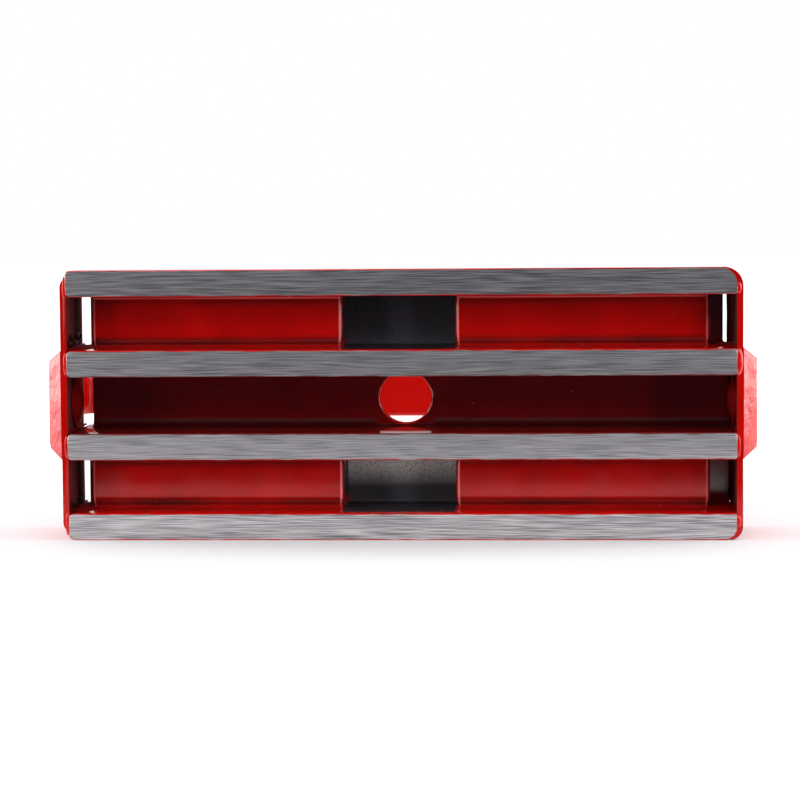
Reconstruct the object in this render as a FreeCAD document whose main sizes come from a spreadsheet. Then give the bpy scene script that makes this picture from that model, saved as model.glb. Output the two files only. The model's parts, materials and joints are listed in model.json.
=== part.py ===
"""Welding magnet holder: a boxed stack of pole plates and magnets with a swinging bail handle.

Frame: +X along the body, +Y from the pole face towards the handle, +Z up.
Origin: centre of the underside of the bottom pole plate. Millimetres.
"""
import FreeCAD, Part
import math
import os
import Sketcher

V = FreeCAD.Vector
X_AXIS = V(1, 0, 0)
Y_AXIS = V(0, 1, 0)
Z_AXIS = V(0, 0, 1)

# Driving dimensions: alias, value, what it is.
DIMENSIONS = [
    ("pole_length", 150.0, "length of each pole plate"),
    ("pole_depth", 26.0, "pole face to back"),
    ("pole_thick", 6.0, "thickness of each pole plate"),
    ("pole_chamfer", 0.4, "broken edge round the ground face"),
    ("magnet_gap", 12.0, "clear height of the upper and lower gaps"),
    ("middle_gap", 12.7, "clear height of the middle gap"),
    ("magnet_length", 57.6, "length of a side magnet"),
    ("magnet_extra", 0.6, "how much longer the lower left magnet is, at its outer end"),
    ("magnet_recess", 12.0, "pole face to the front of the magnets"),
    ("window_width", 25.4, "space between the two magnets of a gap"),
    ("window_shift", -0.8, "middle of the window along X"),
    ("web_length", 147.0, "length of the web plate"),
    ("web_shift", 0.8, "middle of the web plate along X"),
    ("strip_upper_length", 145.7, "length of the upper back strip"),
    ("strip_upper_shift", -0.35, "middle of the upper back strip along X"),
    ("strip_lower_length", 148.2, "length of the lower back strip"),
    ("strip_lower_shift", 0.15, "middle of the lower back strip along X"),
    ("strip_thick", 2.0, "thickness of the back strips"),
    ("web_thick", 3.0, "thickness of the web plate"),
    ("web_setback", 0.2, "back of the pole plates to the back of the web"),
    ("web_bore", 12.0, "diameter of the hole in the web"),
    ("end_thick", 1.2, "thickness of the end plates"),
    ("end_front_step", 0.6, "pole face to the front edge of the end plates"),
    ("end_inset", 0.2, "outer pole plates to the end plate's top and bottom edges"),
    ("end_corner", 3.5, "corner radius of the end plates"),
    ("rivet_shank", 5.0, "diameter of the pivot rivets"),
    ("rivet_head", 10.0, "diameter of the head inside the body"),
    ("rivet_rise", 1.2, "height of the head inside the body"),
    ("rivet_flare", 6.2, "outer diameter of the flush countersunk head"),
    ("running_gap", 0.05, "radial clearance of the pivot"),
    ("washer_outer", 12.0, "diameter of both kinds of washer"),
    ("washer_thick", 0.5, "thickness of both kinds of washer"),
    ("washer_slack", 0.15, "radial slack of a washer on its rivet"),
    ("hub_size", 24.7, "root height and depth of a handle hub"),
    ("hub_face", 19.6, "height and depth of the hub's outer face"),
    ("hub_gap", 0.3, "end plate to the root of a hub"),
    ("hub_proud", 3.2, "end plate to the outer face of a hub"),
    ("strap_width", 12.0, "width of the handle strap"),
    ("strap_thick", 2.0, "thickness of the handle strap"),
    ("strap_spread", 3.6, "how far each leg splays outwards"),
    ("bar_reach", 39.9, "pivot to the middle of the cross bar"),
    ("bar_bend", 6.0, "bend radius between leg and cross bar"),
    ("leg_bend", 12.0, "bend radius where a leg starts to splay"),
    ("leg_straight", 13.0, "pivot to the start of the splay"),
    ("grip_length", 132.0, "length of the grip sleeve"),
    ("grip_wall", 0.8, "wall of the grip sleeve"),
    ("grip_round", 0.6, "edge radius of the grip sleeve"),
]

# Heights that follow from the stack, as sheet formulas.
DERIVED = [
    ("body_height", "=4 * pole_thick + 2 * magnet_gap + middle_gap"),
    ("half_depth", "=pole_depth / 2"),
    ("pitch_outer", "=pole_thick + magnet_gap"),
    ("pitch_middle", "=pole_thick + middle_gap"),
    ("middle_level", "=body_height / 2"),
    ("end_face", "=pole_length / 2 + end_thick"),
    ("magnet_depth", "=pole_depth - magnet_recess - strip_thick"),
    ("hub_thick", "=hub_proud - hub_gap"),
    ("hub_bevel", "=(hub_size - hub_face) / 2"),
]

doc = FreeCAD.newDocument("welding_magnet_holder")
sheet = doc.addObject("Spreadsheet::Sheet", "Dims")
for row, (alias, value, meaning) in enumerate(DIMENSIONS + [d + ("derived",) for d in DERIVED], start=1):
    sheet.set(f"A{row}", alias)
    sheet.set(f"B{row}", str(value))
    sheet.setAlias(f"B{row}", alias)
    sheet.set(f"C{row}", meaning)
doc.recompute()

subparts = []


def dim(alias):
    """Value of one cell of the sheet."""
    return float(sheet.get(alias))


def keep(feature, node, placement=None):
    """Register a feature as a sub-part under its node name."""
    feature.Label = node
    if placement is not None:
        feature.Placement = placement
    subparts.append(feature)
    return feature


def bind(feature, **formulas):
    """Bind properties of a feature to formulas of sheet cells."""
    for name, text in formulas.items():
        feature.setExpression(name, text)


def formula(text):
    """Write a formula with bare aliases as one that names the sheet."""
    known = [alias for alias, _, _ in DIMENSIONS] + [alias for alias, _ in DERIVED]
    words = []
    for word in text.replace("(", " ( ").replace(")", " ) ").split():
        words.append(f"Dims.{word}" if word in known else word)
    return " ".join(words)


def origin_plane(body, role):
    """One of a body's own origin planes, by its role."""
    return next(item for item in body.Origin.OriginFeatures if item.Role == role)


def rectangle(sketch, width, height):
    """Add a rectangle centred on the sketch origin, its sides bound to two formulas."""
    w, h = 10.0, 5.0
    corners = [V(-w, -h, 0), V(w, -h, 0), V(w, h, 0), V(-w, h, 0)]
    for i in range(4):
        sketch.addGeometry(Part.LineSegment(corners[i], corners[(i + 1) % 4]), False)
    for i in range(4):
        sketch.addConstraint(Sketcher.Constraint("Coincident", i, 2, (i + 1) % 4, 1))
    for side in (0, 2):
        sketch.addConstraint(Sketcher.Constraint("Horizontal", side))
    for side in (1, 3):
        sketch.addConstraint(Sketcher.Constraint("Vertical", side))
    sketch.addConstraint(Sketcher.Constraint("Symmetric", 0, 1, 2, 1, -1, 1))
    across = sketch.addConstraint(Sketcher.Constraint("DistanceX", 0, 1, 0, 2, 2 * w))
    upright = sketch.addConstraint(Sketcher.Constraint("DistanceY", 1, 1, 1, 2, 2 * h))
    sketch.setExpression(f"Constraints[{across}]", formula(width))
    sketch.setExpression(f"Constraints[{upright}]", formula(height))


def round_hole(sketch, diameter, aside):
    """Add a circle on the sketch's horizontal axis, set back from its origin by a formula."""
    ring = sketch.addGeometry(Part.Circle(V(0, 0, 0), Z_AXIS, 2.0), False)
    sketch.addConstraint(Sketcher.Constraint("PointOnObject", ring, 3, -1))
    offset = sketch.addConstraint(Sketcher.Constraint("DistanceX", ring, 3, -1, 1, 0.2))
    size = sketch.addConstraint(Sketcher.Constraint("Diameter", ring, 4.0))
    sketch.setExpression(f"Constraints[{offset}]", formula(aside))
    sketch.setExpression(f"Constraints[{size}]", formula(diameter))


def padded_body(name, role, width, height, length, hole=None):
    """A body from one rectangle on an origin plane, padded evenly to both sides; hole as (diameter, aside)."""
    body = doc.addObject("PartDesign::Body", name)
    sketch = body.newObject("Sketcher::SketchObject", name + "_outline")
    sketch.AttachmentSupport = (origin_plane(body, role), [""])
    sketch.MapMode = "FlatFace"
    rectangle(sketch, width, height)
    if hole is not None:
        round_hole(sketch, *hole)
    pad = body.newObject("PartDesign::Pad", name + "_pad")
    pad.Profile = sketch
    pad.SideType = "Symmetric"
    pad.setExpression("Length", formula(length))
    doc.recompute()
    return body


def edges_where(shape, test):
    """Names of the edges of a shape whose both ends pass a test."""
    return [f"Edge{i}" for i, edge in enumerate(shape.Edges, start=1)
            if all(test(vertex.Point) for vertex in edge.Vertexes)]


def at(x=0.0, y=0.0, z=0.0):
    """Placement without rotation."""
    return FreeCAD.Placement(V(x, y, z), FreeCAD.Rotation())


def along_x(x):
    """Placement on the pivot axis with local +Z turned to +X, or to -X left of the middle."""
    turn = FreeCAD.Rotation(Y_AXIS, 90 if x > 0 else -90)
    return FreeCAD.Placement(V(x, 0, dim("middle_level")), turn)


def make_pole_plates():
    """Four equal bars on edge; the long edges of the ground face are broken."""
    thick = dim("pole_thick")
    floors = {
        "pole_plate_bottom": 0.0,
        "pole_plate_lower_mid": dim("pitch_outer"),
        "pole_plate_upper_mid": dim("pitch_outer") + dim("pitch_middle"),
        "pole_plate_top": 2 * dim("pitch_outer") + dim("pitch_middle"),
    }
    for node, floor in floors.items():
        body = padded_body(node, "XY_Plane", "pole_length", "pole_depth", "pole_thick")
        front = -dim("half_depth")
        names = edges_where(body.Shape, lambda p: abs(p.y - front) < 0.01)
        pad = body.Tip
        chamfer = body.newObject("PartDesign::Chamfer", node + "_edges")
        chamfer.Base = (pad, names)
        chamfer.setExpression("Size", formula("pole_chamfer"))
        keep(body, node, at(z=floor + thick / 2))


def make_magnets():
    """Two magnets in the upper gap and two in the lower, either side of a window."""
    offset = (dim("window_width") + dim("magnet_length")) / 2
    middle_y = -dim("half_depth") + dim("magnet_recess") + dim("magnet_depth") / 2
    levels = {
        "lower": dim("pole_thick") + dim("magnet_gap") / 2,
        "upper": dim("body_height") - dim("pole_thick") - dim("magnet_gap") / 2,
    }
    for level, z in levels.items():
        for side, sign in (("left", -1), ("right", 1)):
            node = f"magnet_{level}_{side}"
            length, x = "magnet_length", dim("window_shift") + sign * offset
            if node == "magnet_lower_left":
                length, x = "magnet_length + magnet_extra", x - dim("magnet_extra") / 2
            body = padded_body(node, "XY_Plane", length, "magnet_depth", "magnet_gap")
            keep(body, node, at(x, middle_y, z))


def make_back_strips():
    """Steel strips closing the back of the upper and lower gaps."""
    y = dim("half_depth") - dim("strip_thick") / 2
    levels = {
        "lower": dim("pole_thick") + dim("magnet_gap") / 2,
        "upper": dim("body_height") - dim("pole_thick") - dim("magnet_gap") / 2,
    }
    for level, z in levels.items():
        node = f"back_strip_{level}"
        body = padded_body(node, "XZ_Plane", f"strip_{level}_length", "magnet_gap", "strip_thick")
        keep(body, node, at(dim(f"strip_{level}_shift"), y, z))


def make_web_plate():
    """Plate across the middle gap with a bolt hole in line with the origin."""
    body = padded_body("web_plate", "XZ_Plane", "web_length", "middle_gap", "web_thick",
                       hole=("web_bore", "web_shift"))
    y = dim("half_depth") - dim("web_setback") - dim("web_thick") / 2
    keep(body, "web_plate", at(dim("web_shift"), y, dim("middle_level")))


def make_end_plates():
    """Sheet plates with rounded corners and a hole for the pivot rivet."""
    for node, sign in (("end_plate_left", -1), ("end_plate_right", 1)):
        body = padded_body(node, "YZ_Plane", "pole_depth - end_front_step", "body_height - 2 * end_inset",
                           "end_thick", hole=("rivet_shank", "end_front_step / 2"))
        half_depth = (dim("pole_depth") - dim("end_front_step")) / 2
        corners = edges_where(body.Shape, lambda p: abs(abs(p.y) - half_depth) < 0.01)
        corners = [name for name in corners
                   if abs(body.Shape.getElement(name).Length - dim("end_thick")) < 0.01]
        pad = body.Tip
        fillet = body.newObject("PartDesign::Fillet", node + "_corners")
        fillet.Base = (pad, corners)
        fillet.setExpression("Radius", formula("end_corner"))
        x = sign * (dim("pole_length") + dim("end_thick")) / 2
        keep(body, node, at(x, dim("end_front_step") / 2, dim("middle_level")))


def make_pivot_rivets():
    """Rivets turned about the pivot axis: head inside the body, flush countersunk head outside."""
    shank = dim("rivet_shank") / 2
    head = dim("rivet_head") / 2
    flare = dim("rivet_flare") / 2
    rise = dim("rivet_rise")
    inner = dim("end_face") - dim("end_thick") - dim("washer_thick")
    outer = dim("end_face") + dim("hub_proud")
    dome = (head ** 2 + rise ** 2) / (2 * rise)
    half_angle = math.asin(head / dome) / 2
    mid_dome = V(inner - rise + dome * (1 - math.cos(half_angle)), 0, dome * math.sin(half_angle))
    cone_start = outer - (flare - shank)
    line = Part.LineSegment
    edges = [
        Part.Arc(V(inner - rise, 0, 0), mid_dome, V(inner, 0, head)),
        line(V(inner, 0, head), V(inner, 0, shank)),
        line(V(inner, 0, shank), V(cone_start, 0, shank)),
        line(V(cone_start, 0, shank), V(outer, 0, flare)),
        line(V(outer, 0, flare), V(outer, 0, 0)),
        line(V(outer, 0, 0), V(inner - rise, 0, 0)),
    ]
    profile = Part.Face(Part.Wire([edge.toShape() for edge in edges]))
    solid = profile.revolve(V(0, 0, 0), X_AXIS, 360)
    for node, turn in (("pivot_rivet_right", 0), ("pivot_rivet_left", 180)):
        rivet = doc.addObject("Part::Feature", node)
        rivet.Shape = Part.Solid(solid.Shells[0]) if solid.ShapeType != "Solid" else solid
        keep(rivet, node, FreeCAD.Placement(V(0, 0, dim("middle_level")), FreeCAD.Rotation(Z_AXIS, turn)))


def make_washers():
    """A backing washer inside and a friction washer outside each end plate."""
    inside = dim("end_face") - dim("end_thick") - dim("washer_thick")
    for kind, start in (("backing_washer", inside), ("friction_washer", dim("end_face"))):
        for side, sign in (("left", -1), ("right", 1)):
            node = f"{kind}_{side}"
            disc = doc.addObject("Part::Cylinder", node + "_disc")
            bind(disc, Radius=formula("washer_outer / 2"), Height=formula("washer_thick"))
            hole = doc.addObject("Part::Cylinder", node + "_hole")
            bind(hole, Radius=formula("rivet_shank / 2 + washer_slack"), Height=formula("washer_thick"))
            ring = doc.addObject("Part::Cut", node)
            ring.Base = disc
            ring.Tool = hole
            keep(ring, node, along_x(sign * start))


def make_hubs():
    """Square pads with four bevels, pocketed for the leg and countersunk for the rivet."""
    for side, sign in (("left", -1), ("right", 1)):
        node = f"handle_hub_{side}"
        block = doc.addObject("Part::Wedge", node + "_block")
        bind(block, Xmin="0", Ymin="0", Zmin="0", X2min=formula("hub_bevel"), Z2min=formula("hub_bevel"),
             Xmax=formula("hub_size"), Zmax=formula("hub_size"), Ymax=formula("hub_thick"),
             X2max=formula("hub_size - hub_bevel"), Z2max=formula("hub_size - hub_bevel"))
        doc.recompute()
        # The wedge narrows along its own +Y, which is turned to point outwards.
        half = dim("hub_size") / 2
        root = dim("end_face") + dim("hub_gap")
        level = dim("middle_level")
        block.Placement = FreeCAD.Placement(V(sign * root, sign * half, level - half),
                                            FreeCAD.Rotation(Z_AXIS, -90 * sign))
        pocket = doc.addObject("Part::Box", node + "_pocket")
        bind(pocket, Length=formula("washer_thick + strap_thick - hub_gap"), Width=formula("hub_size"),
             Height=formula("strap_width"))
        doc.recompute()
        left_edge = root if sign > 0 else -root - pocket.Length.Value
        start_y = -dim("strap_width") / 2
        pocket.Placement = at(left_edge, start_y, level - dim("strap_width") / 2)
        bore = doc.addObject("Part::Cylinder", node + "_bore")
        bind(bore, Radius=formula("rivet_shank / 2 + running_gap"), Height=formula("hub_proud + running_gap"))
        bore.Placement = along_x(sign * dim("end_face"))
        sink = doc.addObject("Part::Cone", node + "_sink")
        bind(sink, Radius1=formula("rivet_shank / 2 + 2 * running_gap"),
             Radius2=formula("rivet_flare / 2 + 2 * running_gap"), Height=formula("( rivet_flare - rivet_shank ) / 2"))
        doc.recompute()
        sink.Placement = along_x(sign * (dim("end_face") + dim("hub_proud") - sink.Height.Value))
        tools = doc.addObject("Part::MultiFuse", node + "_cuts")
        tools.Shapes = [pocket, bore, sink]
        hub = doc.addObject("Part::Cut", node)
        hub.Base = block
        hub.Tool = tools
        keep(hub, node)


def rounded_path(points, radii):
    """Straight runs joined by tangent arcs, as a list of edges."""
    edges = []
    start = points[0]
    for before, corner, after, radius in zip(points, points[1:], points[2:], radii):
        inward = (before - corner).normalize()
        onward = (after - corner).normalize()
        half = inward.getAngle(onward) / 2
        cut = radius / math.tan(half)
        middle = (inward + onward).normalize()
        centre = corner + middle * (radius / math.sin(half))
        edges.append(Part.LineSegment(start, corner + inward * cut).toShape())
        edges.append(Part.Arc(corner + inward * cut, centre - middle * radius, corner + onward * cut).toShape())
        start = corner + onward * cut
    edges.append(Part.LineSegment(start, points[-1]).toShape())
    return edges


def make_handle_strap():
    """Flat strap bent to a U: rounded pivot ends, splayed legs and a straight cross bar."""
    thick = dim("strap_thick")
    width = dim("strap_width")
    leg_x = dim("end_face") + dim("washer_thick") + thick / 2
    bar_x = leg_x + dim("strap_spread")
    right = [V(leg_x, -width / 2, 0), V(leg_x, dim("leg_straight"), 0), V(bar_x, dim("bar_reach"), 0)]
    left = [V(-p.x, p.y, 0) for p in reversed(right)]
    radii = [dim("leg_bend"), dim("bar_bend"), dim("bar_bend"), dim("leg_bend")]
    edges = rounded_path(right + left, radii)
    spine = Part.Wire(edges)
    across = X_AXIS * (thick / 2)
    up = Z_AXIS * (width / 2)
    section = Part.makePolygon([right[0] - across - up, right[0] + across - up,
                                right[0] + across + up, right[0] - across + up, right[0] - across - up])
    bent = spine.makePipeShell([section], True, False)
    rounding = Part.makeBox(2 * bar_x + 2 * thick, width / 2, width, V(-bar_x - thick, -width / 2, -width / 2))
    nose = Part.makeCylinder(width / 2, 2 * bar_x + 2 * thick, V(-bar_x - thick, 0, 0), X_AXIS)
    bore = Part.makeCylinder(dim("rivet_shank") / 2 + dim("running_gap"), 2 * bar_x + 2 * thick,
                             V(-bar_x - thick, 0, 0), X_AXIS)
    shape = bent.cut(rounding.cut(nose)).cut(bore)
    strap = doc.addObject("Part::Feature", "handle_strap")
    strap.Shape = shape.Solids[0]
    keep(strap, "handle_strap", at(z=dim("middle_level")))


def make_handle_grip():
    """Moulded sleeve with rounded edges that fits closely round the cross bar."""
    outer = doc.addObject("Part::Box", "grip_outer")
    bind(outer, Length=formula("grip_length"), Width=formula("strap_thick + 2 * grip_wall"),
         Height=formula("strap_width + 2 * grip_wall"))
    doc.recompute()
    rounded = doc.addObject("Part::Fillet", "grip_rounded")
    rounded.Base = outer
    radius = dim("grip_round")
    long_edges = [i for i, edge in enumerate(outer.Shape.Edges, start=1)
                  if abs(edge.Length - dim("grip_length")) < 0.01]
    rounded.Edges = [(i, radius, radius) for i in long_edges]
    core = doc.addObject("Part::Box", "grip_core")
    bind(core, Length=formula("grip_length"), Width=formula("strap_thick"), Height=formula("strap_width"))
    core.Placement = at(0, dim("grip_wall"), dim("grip_wall"))
    sleeve = doc.addObject("Part::Cut", "handle_grip")
    sleeve.Base = rounded
    sleeve.Tool = core
    half_width = dim("strap_thick") / 2 + dim("grip_wall")
    low = dim("middle_level") - dim("strap_width") / 2 - dim("grip_wall")
    keep(sleeve, "handle_grip", at(-dim("grip_length") / 2, dim("bar_reach") - half_width, low))


def export_all():
    """Check every object, then write one STEP file per sub-part."""
    doc.recompute()
    for item in doc.Objects:
        if "Invalid" in item.State or "Error" in item.State:
            raise RuntimeError(f"{item.Name} failed: {item.State}")
    os.makedirs("parts", exist_ok=True)
    for feature in subparts:
        shape = feature.Shape
        if shape.isNull() or not shape.isValid() or shape.Volume <= 0:
            raise RuntimeError(f"{feature.Label} has no valid shape")
        shape.exportStep(f"parts/{feature.Label}.step")
        box = shape.BoundBox
        print(f"{feature.Label}: {shape.Volume:.1f} mm3, X {box.XMin:.2f}..{box.XMax:.2f}, "
              f"Y {box.YMin:.2f}..{box.YMax:.2f}, Z {box.ZMin:.2f}..{box.ZMax:.2f}")


make_pole_plates()
make_magnets()
make_back_strips()
make_web_plate()
make_end_plates()
make_pivot_rivets()
make_washers()
make_hubs()
make_handle_strap()
make_handle_grip()
export_all()
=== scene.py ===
"""Looks of the welding magnet holder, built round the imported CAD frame. Metres, Z up."""
import json
import math

import bmesh
import bpy
from mathutils import Matrix, Vector, noise


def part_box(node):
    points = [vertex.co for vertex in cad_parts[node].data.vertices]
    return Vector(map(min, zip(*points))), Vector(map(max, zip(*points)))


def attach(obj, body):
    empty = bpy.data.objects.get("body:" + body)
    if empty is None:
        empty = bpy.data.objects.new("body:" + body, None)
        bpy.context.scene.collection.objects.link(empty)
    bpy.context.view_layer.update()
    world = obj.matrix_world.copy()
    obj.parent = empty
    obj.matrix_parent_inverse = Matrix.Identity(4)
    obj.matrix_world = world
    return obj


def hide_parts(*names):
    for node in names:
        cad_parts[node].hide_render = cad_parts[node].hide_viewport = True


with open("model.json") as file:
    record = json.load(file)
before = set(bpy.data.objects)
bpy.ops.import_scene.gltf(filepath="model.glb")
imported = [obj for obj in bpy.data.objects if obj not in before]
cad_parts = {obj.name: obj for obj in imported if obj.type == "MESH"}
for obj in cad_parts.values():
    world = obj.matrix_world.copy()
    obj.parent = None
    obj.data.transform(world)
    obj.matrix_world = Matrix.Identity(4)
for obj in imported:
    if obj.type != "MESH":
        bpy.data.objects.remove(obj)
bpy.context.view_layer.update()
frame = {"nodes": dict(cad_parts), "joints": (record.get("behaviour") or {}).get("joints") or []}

MM = 0.001
BLOCK = "block"
HANDLE = "handle"
WINDOW_NODES = ("magnet_upper_left", "magnet_upper_right")

# Sizes taken from the frame.
face_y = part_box("pole_plate_top")[0].y
back_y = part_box("pole_plate_top")[1].y
plate_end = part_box("pole_plate_top")[1].x
shell_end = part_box("end_plate_right")[1].x
block_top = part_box("pole_plate_top")[1].z
window_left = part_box(WINDOW_NODES[0])[1].x
window_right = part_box(WINDOW_NODES[1])[0].x
pivot = Vector(frame["joints"][0]["pos_m"])

PAINT_ROUND = 0.45 * MM     # radius of painted edges
GROUND_INSET = 0.22 * MM    # plate edge to the edge of the bare ground face
GROUND_DEPTH = 0.35 * MM    # thickness of the bare face piece
GROUND_PROUD = 0.05 * MM    # how far the ground face stands before the paint
CORNER_RIGHT = 4.2 * MM     # linished corners at the right end of the body
CORNER_LEFT = 1.1 * MM      # corners at the left end
PLATE_CORNER = 3.6 * MM     # the top and bottom plates' own corners under the dressed end plate
HUB_CLEAR = 0.04 * MM       # end plate to the rim of a hub
PAD_PROUD = 0.03 * MM       # how far a pad's painted face stands over the CAD hub's
STRAP_THICK = 2.0 * MM      # the handle strap
MASK_DEPTH = 3.5 * MM       # pole face to where the unpainted window begins
WALL_THINNED = 0.75 * MM    # how much the left end plate's rear inner edge is thinned outwards
END_BEAD = 0.42 * MM        # paint on the right end of the upper back strip
PLATES = ("pole_plate_bottom", "pole_plate_lower_mid", "pole_plate_upper_mid", "pole_plate_top")
# Painted reflection: each ground face gets its own brightness, brightest on the lower plates and darkest on
# the top one.
PAINTED_REFLECTION = dict(zip(PLATES, (0.75, 1.0, 0.5, 0.05)))      # how bright each ground face is, 0 to 1

# ---------------------------------------------------------------- materials


def new_material(name, base, roughness, metallic=0.0):
    """A principled material; returns (material, tree, shader)."""
    material = bpy.data.materials.new(name)
    material.use_nodes = True
    tree = material.node_tree
    shader = tree.nodes["Principled BSDF"]
    shader.inputs["Base Color"].default_value = (*base, 1)
    shader.inputs["Roughness"].default_value = roughness
    shader.inputs["Metallic"].default_value = metallic
    return material, tree, shader


def add(tree, kind, **settings):
    """A node with its settings; sockets maps input names to their values."""
    node = tree.nodes.new(kind)
    for name, value in settings.pop("sockets", {}).items():
        node.inputs[name].default_value = value
    for name, value in settings.items():
        setattr(node, name, value)
    return node


def place(tree, scale=(1, 1, 1)):
    """Object coordinates through a mapping."""
    coordinates = add(tree, "ShaderNodeTexCoord")
    mapping = add(tree, "ShaderNodeMapping", sockets={"Scale": scale})
    tree.links.new(coordinates.outputs["Object"], mapping.inputs["Vector"])
    return mapping.outputs["Vector"]


def noise_of(tree, where, scale, detail=3.0, rough=0.55):
    """A noise texture's value."""
    node = add(tree, "ShaderNodeTexNoise", sockets={"Scale": scale, "Detail": detail, "Roughness": rough})
    tree.links.new(where, node.inputs["Vector"])
    return node.outputs["Fac"]


def ramp(tree, value, *stops):
    """A colour ramp; each stop is (position, grey) or (position, (r, g, b))."""
    node = add(tree, "ShaderNodeValToRGB")
    elements = node.color_ramp.elements
    while len(elements) < len(stops):
        elements.new(0.5)
    for element, (position, colour) in zip(elements, stops):
        element.position = position
        rgb = (colour,) * 3 if isinstance(colour, (int, float)) else colour
        element.color = (*rgb, 1)
    tree.links.new(value, node.inputs["Fac"])
    return node.outputs["Color"]


def mix(tree, share, first, second, blend="MIX"):
    """Colour mix; share and both sides are sockets or values."""
    node = add(tree, "ShaderNodeMix", data_type="RGBA", blend_type=blend)
    sides = [socket for socket in node.inputs if socket.type == "RGBA"]
    for socket, value in ((node.inputs["Factor"], share), (sides[0], first), (sides[1], second)):
        if isinstance(value, bpy.types.NodeSocket):
            tree.links.new(value, socket)
        else:
            socket.default_value = (*value, 1) if isinstance(value, tuple) else value
    return next(socket for socket in node.outputs if socket.type == "RGBA")


def maths(tree, operation, *values):
    """A maths node on sockets or numbers."""
    node = add(tree, "ShaderNodeMath", operation=operation)
    for socket, value in zip(node.inputs, values):
        if isinstance(value, bpy.types.NodeSocket):
            tree.links.new(value, socket)
        else:
            socket.default_value = value
    return node.outputs["Value"]


def bump(tree, shader, height, distance, strength=1.0, under=None):
    """Adds a bump to the shader's normal, on top of another bump if one is given."""
    node = add(tree, "ShaderNodeBump", sockets={"Strength": strength, "Distance": distance})
    tree.links.new(height, node.inputs["Height"])
    if under is not None:
        tree.links.new(under, node.inputs["Normal"])
    tree.links.new(node.outputs["Normal"], shader.inputs["Normal"])
    return node.outputs["Normal"]


def window_share(tree):
    """1 in the masked window between the magnets, where nothing is painted, and 0 outside it."""
    coordinates = add(tree, "ShaderNodeTexCoord")
    parts = add(tree, "ShaderNodeSeparateXYZ")
    tree.links.new(coordinates.outputs["Object"], parts.inputs["Vector"])
    wander = noise_of(tree, coordinates.outputs["Object"], 500.0)
    wander = maths(tree, "MULTIPLY", maths(tree, "SUBTRACT", wander, 0.5), 0.8 * MM)
    centre = (window_left + window_right) / 2
    half = (window_right - window_left) / 2 + 0.1 * MM
    skirt = 1 * MM      # keeps the paint on the outer faces and in the middle gap
    aside = maths(tree, "ABSOLUTE", maths(tree, "SUBTRACT", parts.outputs["X"], centre))
    inside = maths(tree, "LESS_THAN", maths(tree, "ADD", aside, wander), half)
    deep = maths(tree, "GREATER_THAN", maths(tree, "ADD", parts.outputs["Y"], wander), face_y + MASK_DEPTH)
    high = maths(tree, "GREATER_THAN", parts.outputs["Z"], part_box("pole_plate_upper_mid")[0].z + skirt)
    low = maths(tree, "LESS_THAN", parts.outputs["Z"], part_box("pole_plate_lower_mid")[1].z - skirt)
    inner = maths(tree, "LESS_THAN", parts.outputs["Z"], block_top - skirt)
    above_foot = maths(tree, "GREATER_THAN", parts.outputs["Z"], skirt)
    outer_gaps = maths(tree, "MAXIMUM", high, low)
    level = maths(tree, "MULTIPLY", outer_gaps, maths(tree, "MULTIPLY", inner, above_foot))
    not_back = maths(tree, "LESS_THAN", parts.outputs["Y"], back_y - 0.3 * MM)
    across = maths(tree, "MULTIPLY", inside, deep)
    return maths(tree, "MULTIPLY", across, maths(tree, "MULTIPLY", level, not_back))


def share_of(tree, name):
    """A mesh attribute between 0 and 1, 0 on meshes without it."""
    node = add(tree, "ShaderNodeAttribute", attribute_type="GEOMETRY", attribute_name=name)
    return node.outputs["Fac"]


def paint_with_painted_light(tree, colour):
    """The paint's colour, darkened by painted shade and paled by painted highlights set on the mesh."""
    painted_shading = mix(tree, share_of(tree, "painted_shade"), colour, (0.10, 0.006, 0.006))
    return mix(tree, share_of(tree, "painted_highlight"), painted_shading, (1.0, 0.24, 0.24))


def red_shade(tree, where, deep=1.0):
    """The enamel's red, a little deeper where it lies heavier."""
    return ramp(tree, noise_of(tree, where, 90.0), (0.3, (0.46 * deep, 0.0022 * deep, 0.0008)),
                (0.75, (0.64 * deep, 0.0045 * deep, 0.0014)))


def ahead_of(tree, depth):
    """1 in front of a depth (towards the pole face) and 0 behind it."""
    parts = add(tree, "ShaderNodeSeparateXYZ")
    tree.links.new(place(tree), parts.inputs["Vector"])
    return maths(tree, "LESS_THAN", parts.outputs["Y"], depth)


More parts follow.
